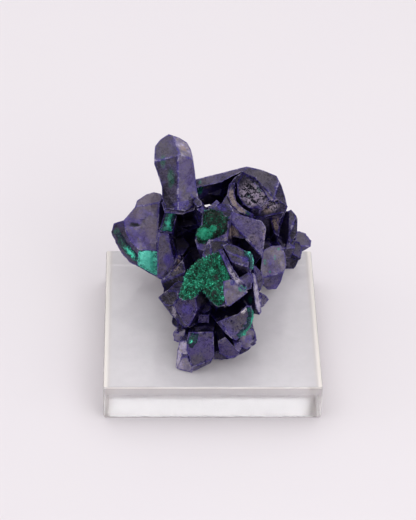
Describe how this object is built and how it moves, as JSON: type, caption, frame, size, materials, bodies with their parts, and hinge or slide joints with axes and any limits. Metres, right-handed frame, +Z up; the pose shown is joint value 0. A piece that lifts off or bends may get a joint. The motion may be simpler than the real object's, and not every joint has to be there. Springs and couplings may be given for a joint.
{
  "type": "azurite and malachite specimen",
  "caption": "Cluster of blocky dark blue azurite crystals with emerald malachite crusts, resting on a clear acrylic display square.",
  "frame": {"origin": "middle of the display square's underside", "axes": "+Z up, +X to the right as seen from the show side, -Y towards the viewer"},
  "size_m": [0.0508, 0.0544, 0.0461],
  "materials": {
    "acrylic": "clear cast acrylic with polished faces and sawn edges",
    "azurite": "dark blue mineral with a vitreous lustre on striated crystal faces",
    "malachite": "emerald green mineral, a sparkling velvet of tiny crystals",
    "pale_malachite": "pale green mineral, a fine grained waxy skin"
  },
  "bodies": {
    "root": {"acrylic_base": "acrylic", "azurite_crystals": "azurite", "malachite_front_crust": "malachite", "malachite_centre_crust": "malachite", "malachite_left_foot": "pale_malachite", "malachite_left_edge": "malachite", "malachite_left_notch": "pale_malachite", "malachite_right_rim": "malachite", "malachite_lower_spot": "malachite", "malachite_ridge_seam": "pale_malachite", "malachite_back_crust": "malachite"}
  },
  "joints": []
}
